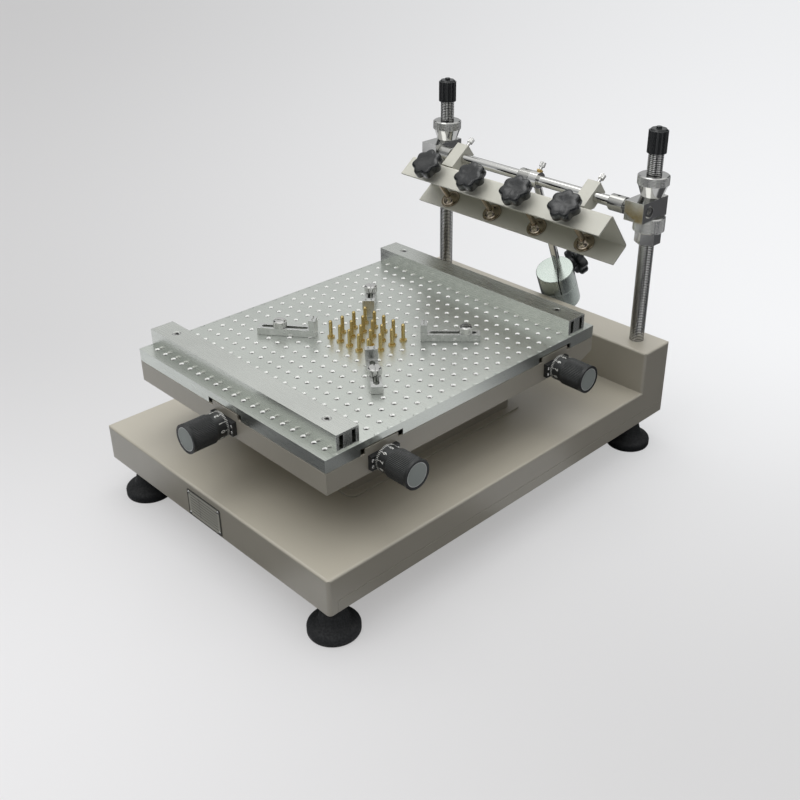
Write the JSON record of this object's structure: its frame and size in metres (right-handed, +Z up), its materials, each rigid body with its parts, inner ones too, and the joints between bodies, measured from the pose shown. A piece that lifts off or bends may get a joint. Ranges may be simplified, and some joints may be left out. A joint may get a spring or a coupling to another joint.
{
  "type": "tabletop screen printing press",
  "caption": "Bench stencil printer: finely adjustable perforated table with pins and clamps, under a height-adjustable swinging stencil holder with counterweight.",
  "frame": {"origin": "on the bench under the middle of the whole part's box", "axes": "+Z up; +Y from the operator towards the posts; +X to the operator's right"},
  "size_m": [0.3814, 0.5918, 0.3773],
  "materials": {
    "beige_paint": "fine satin paint",
    "rubber": "matt moulded rubber",
    "steel": "machined and zinc plated",
    "chrome": "bright nickel plating",
    "alloy": "satin anodised",
    "black_plastic": "moulded black plastic",
    "black_metal": "black anodised",
    "brass": "turned brass"
  },
  "bodies": {
    "base": {"base_case": "beige_paint", "bottom_pan": "beige_paint", "feet": "rubber", "foot_studs": "steel", "posts": "steel", "post_nuts": "steel", "post_caps": "black_plastic", "pedestal": "beige_paint", "tray": "beige_paint", "knob_flanges": "black_metal", "flange_screws": "chrome"},
    "front_knob": {"knob_front": "black_metal", "knob_front_face": "alloy"},
    "side_front_knob": {"knob_side_front": "black_metal", "knob_side_front_face": "alloy"},
    "side_rear_knob": {"knob_side_rear": "black_metal", "knob_side_rear_face": "alloy"},
    "saddle": {"saddle": "steel"},
    "cross_slide": {"cross_slide": "steel"},
    "table": {"perforated_table": "alloy", "bar_front": "alloy", "bar_rear": "alloy", "bar_screws": "chrome", "locating_pins": "brass"},
    "clamp_right": {"clamp_right": "alloy"},
    "clamp_screw_right": {"clamp_screw_right": "steel"},
    "clamp_left": {"clamp_left": "alloy"},
    "clamp_screw_left": {"clamp_screw_left": "steel"},
    "clamp_front": {"clamp_front": "alloy"},
    "clamp_screw_front": {"clamp_screw_front": "steel"},
    "clamp_rear": {"clamp_rear": "alloy"},
    "clamp_screw_rear": {"clamp_screw_rear": "steel"},
    "carriage": {"cross_rod": "chrome", "end_blocks": "chrome", "rod_end_screws": "steel", "rod_collars": "steel"},
    "adjuster_left": {"adjuster_left": "steel"},
    "adjuster_right": {"adjuster_right": "steel"},
    "lock_left": {"lock_left": "steel"},
    "lock_right": {"lock_right": "steel"},
    "head": {"stencil_holder": "beige_paint", "hanger_arms": "beige_paint"},
    "arm_screw_left": {"arm_screw_left": "chrome"},
    "arm_screw_right": {"arm_screw_right": "chrome"},
    "press_1": {"press_1": "chrome"},
    "star_1": {"spindle_1": "chrome", "star_1": "black_plastic"},
    "press_2": {"press_2": "chrome"},
    "star_2": {"spindle_2": "chrome", "star_2": "black_plastic"},
    "press_3": {"press_3": "chrome"},
    "star_3": {"spindle_3": "chrome", "star_3": "black_plastic"},
    "press_4": {"press_4": "chrome"},
    "star_4": {"spindle_4": "chrome", "star_4": "black_plastic"},
    "pendulum": {"weight_hub": "steel"},
    "hub_screw": {"hub_screw": "chrome"},
    "weight": {"weight": "chrome"},
    "weight_knob": {"weight_knob": "black_plastic"}
  },
  "joints": [
    {"name": "front_knob_turn", "type": "hinge", "parent": "base", "child": "front_knob", "pos_m": [-0.00515, -0.25013, 0.1478], "axis": [0, -1, 0], "range_deg": [-1080, 1080]},
    {"name": "side_front_knob_turn", "type": "hinge", "parent": "base", "child": "side_front_knob", "pos_m": [0.14485, -0.18333, 0.1478], "axis": [1, 0, 0], "range_deg": [-1080, 1080]},
    {"name": "side_rear_knob_turn", "type": "hinge", "parent": "base", "child": "side_rear_knob", "pos_m": [0.14485, 0.06567, 0.1478], "axis": [1, 0, 0], "range_deg": [-1080, 1080]},
    {"name": "table_front_back", "type": "slide", "parent": "base", "child": "saddle", "axis": [0, 1, 0], "range_m": [-0.003, 0.003]},
    {"name": "table_left_right", "type": "slide", "parent": "saddle", "child": "cross_slide", "axis": [1, 0, 0], "range_m": [-0.003, 0.003]},
    {"name": "table_turn", "type": "hinge", "parent": "cross_slide", "child": "table", "pos_m": [-0.00515, -0.12364, 0.1588], "axis": [0, 0, 1], "range_deg": [-0.9, 0.9]},
    {"name": "clamp_right_slide", "type": "slide", "parent": "table", "child": "clamp_right", "axis": [0.7071, 0.7071, 0], "range_m": [-0.0085, 0.033]},
    {"name": "clamp_right_screw_turn", "type": "hinge", "parent": "table", "child": "clamp_screw_right", "pos_m": [0.06985, 0.00703, 0.1723], "axis": [0, 0, 1], "range_deg": [0, 360]},
    {"name": "clamp_left_slide", "type": "slide", "parent": "table", "child": "clamp_left", "axis": [-0.7934, -0.6088, 0], "range_m": [-0.0115, 0.025]},
    {"name": "clamp_left_screw_turn", "type": "hinge", "parent": "table", "child": "clamp_screw_left", "pos_m": [-0.08015, -0.12364, 0.1723], "axis": [0, 0, 1], "range_deg": [0, 360]},
    {"name": "clamp_front_slide", "type": "slide", "parent": "table", "child": "clamp_front", "axis": [0.8007, -0.599, 0], "range_m": [-0.0115, 0.0225]},
    {"name": "clamp_front_screw_turn", "type": "hinge", "parent": "table", "child": "clamp_screw_front", "pos_m": [0.06985, -0.12364, 0.1723], "axis": [0, 0, 1], "range_deg": [0, 360]},
    {"name": "clamp_rear_slide", "type": "slide", "parent": "table", "child": "clamp_rear", "axis": [-0.7071, 0.7071, 0], "range_m": [-0.005, 0.037]},
    {"name": "clamp_rear_screw_turn", "type": "hinge", "parent": "table", "child": "clamp_screw_rear", "pos_m": [-0.08015, 0.00703, 0.1723], "axis": [0, 0, 1], "range_deg": [0, 360]},
    {"name": "head_height", "type": "slide", "parent": "base", "child": "carriage", "axis": [0, 0, 1], "range_m": [0, 0.02]},
    {"name": "adjuster_left_turn", "type": "hinge", "parent": "carriage", "child": "adjuster_left", "pos_m": [-0.15955, 0.21286, 0.2798], "axis": [0, 0, 1], "range_deg": [0, 3600]},
    {"name": "adjuster_right_turn", "type": "hinge", "parent": "carriage", "child": "adjuster_right", "pos_m": [0.14925, 0.21286, 0.2798], "axis": [0, 0, 1], "range_deg": [0, 3600]},
    {"name": "lock_left_turn", "type": "hinge", "parent": "carriage", "child": "lock_left", "pos_m": [-0.15955, 0.21286, 0.3018], "axis": [0, 0, 1], "range_deg": [0, 3600]},
    {"name": "lock_right_turn", "type": "hinge", "parent": "carriage", "child": "lock_right", "pos_m": [0.14925, 0.21286, 0.3018], "axis": [0, 0, 1], "range_deg": [0, 3600]},
    {"name": "head_swing", "type": "hinge", "parent": "carriage", "child": "head", "pos_m": [-0.00515, 0.19237, 0.2908], "axis": [-1, 0, 0], "range_deg": [0, 85]},
    {"name": "arm_screw_left_turn", "type": "hinge", "parent": "head", "child": "arm_screw_left", "pos_m": [-0.1188, 0.19237, 0.2908], "axis": [0, 0.7986, 0.6018], "range_deg": [0, 360]},
    {"name": "arm_screw_right_turn", "type": "hinge", "parent": "head", "child": "arm_screw_right", "pos_m": [0.08185, 0.19237, 0.2908], "axis": [0, 0.7986, 0.6018], "range_deg": [0, 360]},
    {"name": "press_1_lift", "type": "slide", "parent": "head", "child": "press_1", "axis": [0, -0.6018, 0.7986], "range_m": [0, 0.025]},
    {"name": "star_1_turn", "type": "hinge", "parent": "press_1", "child": "star_1", "pos_m": [-0.13015, 0.16369, 0.2692], "axis": [0, -0.6018, 0.7986], "range_deg": [0, 6000]},
    {"name": "press_2_lift", "type": "slide", "parent": "head", "child": "press_2", "axis": [0, -0.6018, 0.7986], "range_m": [0, 0.025]},
    {"name": "star_2_turn", "type": "hinge", "parent": "press_2", "child": "star_2", "pos_m": [-0.05965, 0.16369, 0.2692], "axis": [0, -0.6018, 0.7986], "range_deg": [0, 6000]},
    {"name": "press_3_lift", "type": "slide", "parent": "head", "child": "press_3", "axis": [0, -0.6018, 0.7986], "range_m": [0, 0.025]},
    {"name": "star_3_turn", "type": "hinge", "parent": "press_3", "child": "star_3", "pos_m": [0.01085, 0.16369, 0.2692], "axis": [0, -0.6018, 0.7986], "range_deg": [0, 6000]},
    {"name": "press_4_lift", "type": "slide", "parent": "head", "child": "press_4", "axis": [0, -0.6018, 0.7986], "range_m": [0, 0.025]},
    {"name": "star_4_turn", "type": "hinge", "parent": "press_4", "child": "star_4", "pos_m": [0.08135, 0.16369, 0.2692], "axis": [0, -0.6018, 0.7986], "range_deg": [0, 6000]},
    {"name": "weight_swing", "type": "hinge", "parent": "carriage", "child": "pendulum", "pos_m": [0.00445, 0.19237, 0.2908], "axis": [1, 0, 0], "range_deg": [0, 52]},
    {"name": "hub_screw_turn", "type": "hinge", "parent": "pendulum", "child": "hub_screw", "pos_m": [0.00445, 0.19237, 0.2908], "axis": [0, 0.5693, 0.8221], "range_deg": [0, 360]},
    {"name": "weight_slide", "type": "slide", "parent": "pendulum", "child": "weight", "axis": [0.0488, -0.4268, 0.903], "range_m": [0, 0.075]},
    {"name": "weight_knob_turn", "type": "hinge", "parent": "weight", "child": "weight_knob", "pos_m": [-0.00302, 0.25767, 0.15264], "axis": [0.2416, 0.8823, 0.404], "range_deg": [0, 360]}
  ],
  "couplings": [
    {"joint": "front_knob_turn", "follows": "table_front_back", "rad_per_m": -6283},
    {"joint": "side_front_knob_turn", "follows": "table_left_right", "rad_per_m": 6283},
    {"joint": "side_rear_knob_turn", "follows": "table_turn", "ratio": -1189.4},
    {"joint": "adjuster_left_turn", "follows": "head_height", "rad_per_m": 3141.5},
    {"joint": "adjuster_right_turn", "follows": "head_height", "rad_per_m": 3141.5},
    {"joint": "lock_left_turn", "follows": "head_height", "rad_per_m": 3141.5},
    {"joint": "lock_right_turn", "follows": "head_height", "rad_per_m": 3141.5},
    {"joint": "star_1_turn", "follows": "press_1_lift", "rad_per_m": 4188.7},
    {"joint": "star_2_turn", "follows": "press_2_lift", "rad_per_m": 4188.7},
    {"joint": "star_3_turn", "follows": "press_3_lift", "rad_per_m": 4188.7},
    {"joint": "star_4_turn", "follows": "press_4_lift", "rad_per_m": 4188.7}
  ]
}
